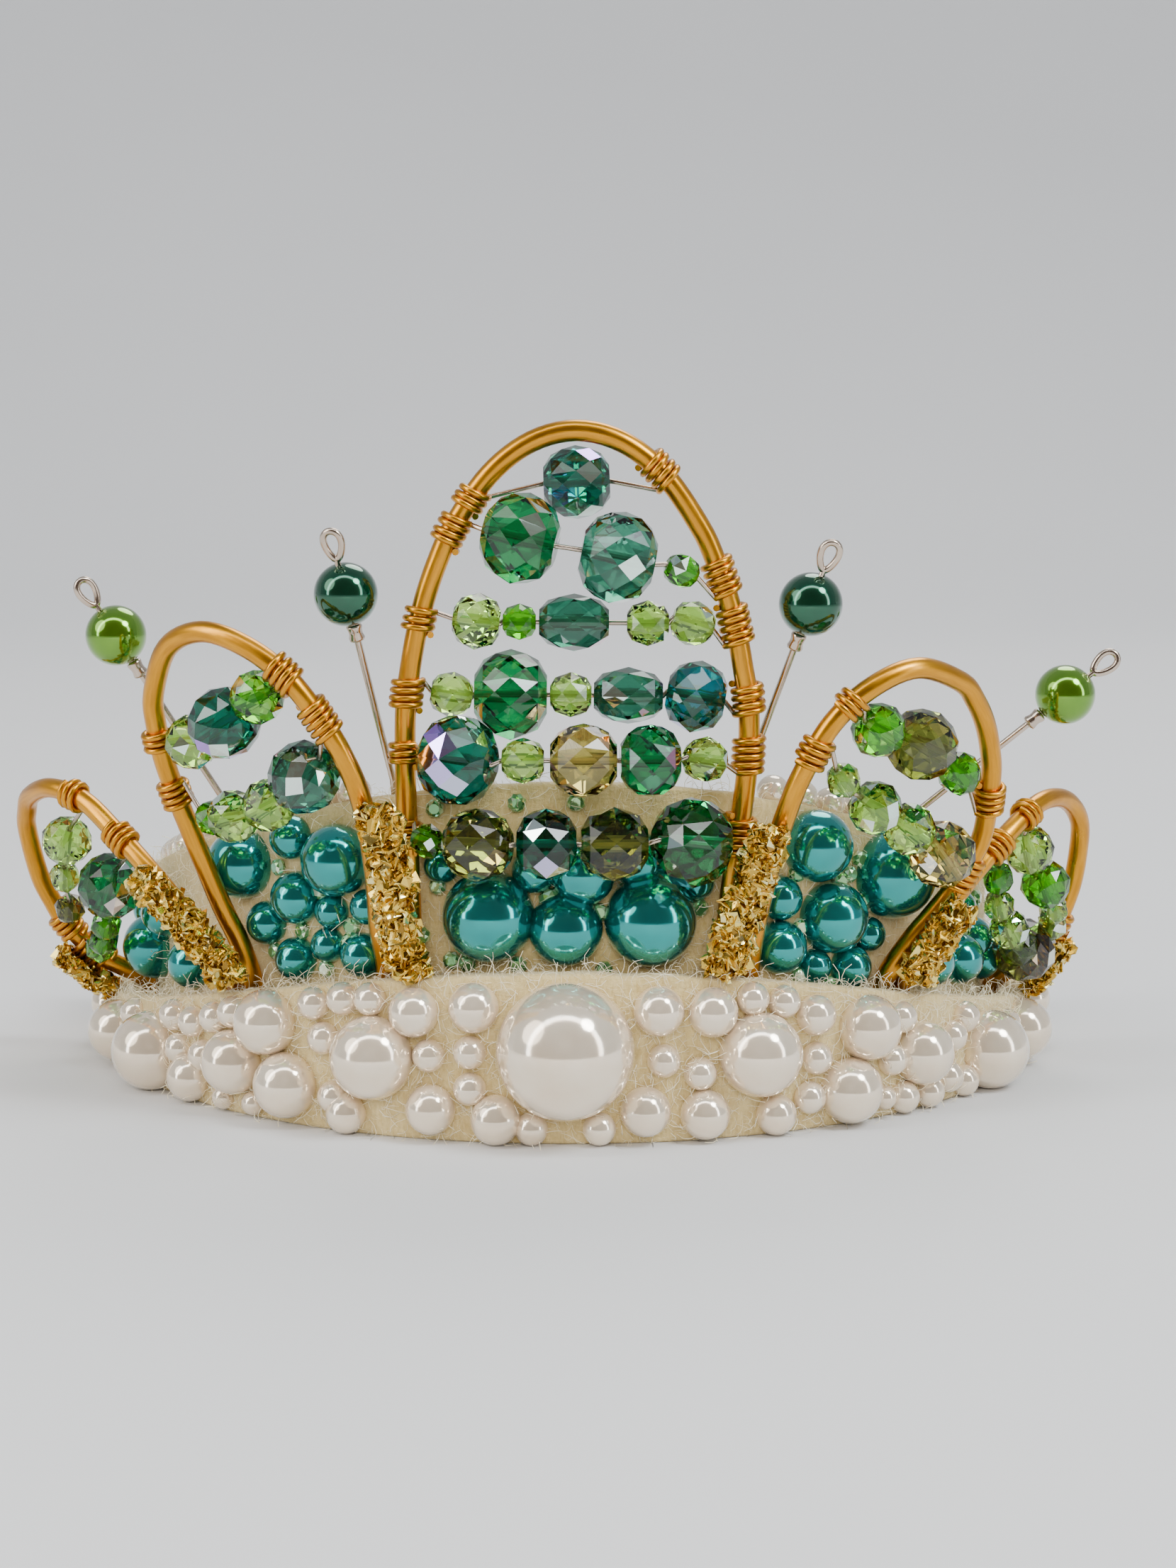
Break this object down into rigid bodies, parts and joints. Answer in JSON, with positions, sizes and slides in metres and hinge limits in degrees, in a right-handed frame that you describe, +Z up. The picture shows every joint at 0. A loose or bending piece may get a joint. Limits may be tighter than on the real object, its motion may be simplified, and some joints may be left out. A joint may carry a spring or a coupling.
{
  "type": "beaded tiara comb",
  "caption": "Handmade tiara: a cream felt band with ivory pearls, a wall of teal pearls behind it, gold wire arches strung with green crystals, pearl pins and a hidden comb.",
  "frame": {"origin": "front middle of the band's foot, at mid-thickness of its felt", "axes": "+X along the width, towards the viewer's right; +Y from the front towards the open back; +Z up from the foot to the tips"},
  "size_m": [0.1409, 0.0826, 0.0831],
  "materials": {
    "felt_cream": "soft cream felt with loose fibres",
    "pearl_ivory": "pearly ivory coating",
    "pearl_teal": "deep teal pearly coating",
    "pearl_green_light": "light green pearly coating",
    "pearl_green_dark": "dark green pearly coating",
    "wire_gold": "satin gold craft wire",
    "chips_gold": "crushed gold chips set in glue",
    "wire_silver": "bright plated wire",
    "teal": "faceted, coated",
    "emerald": "faceted, coated",
    "peridot": "faceted, clear",
    "grass": "faceted, clear",
    "olive": "faceted, coated",
    "amber": "faceted, coated",
    "smoke": "faceted, coated"
  },
  "bodies": {
    "root": {"arch_centre": "wire_gold", "arch_left_mid": "wire_gold", "arch_left_outer": "wire_gold", "arch_right_mid": "wire_gold", "arch_right_outer": "wire_gold", "chips_far_left": "chips_gold", "chips_far_right": "chips_gold", "chips_front_left": "chips_gold", "chips_front_right": "chips_gold", "chips_left": "chips_gold", "chips_right": "chips_gold", "comb": "wire_silver", "pearl_band": "felt_cream", "pearl_far_left": "pearl_ivory", "pearl_far_right": "pearl_ivory", "pearl_front": "pearl_ivory", "pearl_left": "pearl_ivory", "pearl_right": "pearl_ivory", "pin_far_left": "pearl_green_light", "pin_far_right": "pearl_green_light", "pin_left": "pearl_green_dark", "pin_right": "pearl_green_dark", "row_fifth": "peridot", "row_fifth_stone_1": "teal", "row_fifth_stone_3": "amber", "row_fifth_stone_4": "emerald", "row_fourth": "peridot", "row_fourth_stone_2": "emerald", "row_fourth_stone_4": "smoke", "row_fourth_stone_5": "teal", "row_high": "grass", "row_high_stone_1": "emerald", "row_high_stone_2": "smoke", "row_lowest": "grass", "row_lowest_stone_2": "olive", "row_lowest_stone_3": "teal", "row_lowest_stone_4": "olive", "row_lowest_stone_5": "emerald", "row_third": "peridot", "row_third_stone_3": "smoke", "row_top": "wire_gold", "row_top_stone_1": "teal", "string_left_mid_high": "teal", "string_left_mid_low": "peridot", "string_left_outer_far": "peridot", "string_left_outer_near": "emerald", "string_right_mid_high": "grass", "string_right_mid_low": "peridot", "string_right_outer_far": "peridot", "string_right_outer_near": "smoke", "teal_front_left": "pearl_teal", "teal_front_middle": "pearl_teal", "teal_front_right": "pearl_teal", "teal_left_high": "pearl_teal", "teal_left_inner": "pearl_teal", "teal_left_outer": "pearl_teal", "teal_right_high": "pearl_teal", "teal_right_low": "pearl_teal", "teal_right_outer": "pearl_teal", "teal_wall": "felt_cream"}
  },
  "joints": []
}
